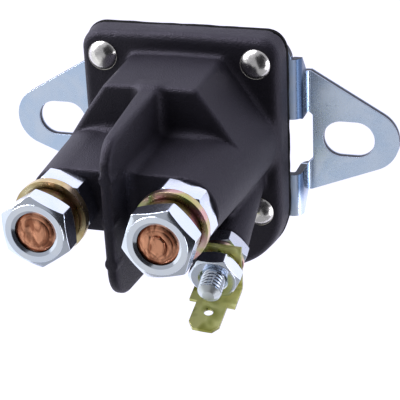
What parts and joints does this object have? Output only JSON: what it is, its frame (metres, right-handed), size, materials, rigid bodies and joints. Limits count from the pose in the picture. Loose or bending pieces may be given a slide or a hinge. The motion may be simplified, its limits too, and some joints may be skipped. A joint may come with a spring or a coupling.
{
  "type": "starter solenoid relay",
  "caption": "Starter solenoid relay: moulded cover with a barrier fin, battery studs, a leaning coil stud with tab, on a stepped steel bracket; sprung plunger and contact disc inside.",
  "frame": {"origin": "midway between the two mounting slots, on the mounting face behind the ears", "axes": "+X along the line of the two slots, +Y across it towards the cover's upper edge, +Z out of the mounting face towards the battery studs"},
  "size_m": [0.0882, 0.0546, 0.0663],
  "materials": {
    "moulding": "fine grained satin black moulding",
    "gasket": "matt black sheet",
    "bracket_zinc": "bright blue-white zinc plate",
    "rivet_nickel": "polished nickel",
    "copper": "bare turned copper",
    "nut_zinc": "bright zinc plate",
    "yellow_zinc": "yellow passivated zinc, faintly iridescent",
    "inner_steel": "plain soft iron",
    "nylon": "natural nylon",
    "enamelled_copper": "enamelled wire under varnish",
    "bumper_rubber": "soft black rubber",
    "spring_steel": "bright spring wire",
    "brass": "turned brass",
    "fibre": "red vulcanised fibre"
  },
  "bodies": {
    "frame": {"cover": "moulding", "gasket": "gasket", "bracket": "bracket_zinc", "rivets": "rivet_nickel", "main_studs": "copper", "base_nuts": "nut_zinc", "flat_washers": "yellow_zinc", "lock_washers": "yellow_zinc", "outer_nuts": "nut_zinc", "coil_stud": "nut_zinc", "coil_stud_base_nut": "nut_zinc", "coil_stud_washer": "yellow_zinc", "tab_terminal": "yellow_zinc", "coil_stud_star_washer": "yellow_zinc", "coil_stud_nut": "nut_zinc", "yoke_can": "inner_steel", "pole_plate": "inner_steel", "bobbin": "nylon", "coil_winding": "enamelled_copper", "coil_lead": "enamelled_copper", "earth_lead": "enamelled_copper", "plunger_bumper": "bumper_rubber", "return_spring": "spring_steel"},
    "plunger": {"plunger": "inner_steel", "push_rod": "brass", "contact_spring": "spring_steel", "retaining_clip": "spring_steel"},
    "contact": {"contact_disc": "copper", "lower_insulator": "fibre", "upper_insulator": "fibre"}
  },
  "joints": [
    {"name": "plunger_slide", "type": "slide", "parent": "frame", "child": "plunger", "axis": [0, 0, 1], "range_m": [0, 0.0023], "stiffness_N_per_m": 900, "springref_m": -0.002, "deforming": ["return_spring"]},
    {"name": "contact_overtravel", "type": "slide", "parent": "plunger", "child": "contact", "axis": [0, 0, -1], "range_m": [0, 0.00065], "deforming": ["contact_spring"]}
  ],
  "couplings": [
    {"joint": "contact_overtravel", "follows": "plunger_slide", "ratio": 0.2826}
  ]
}
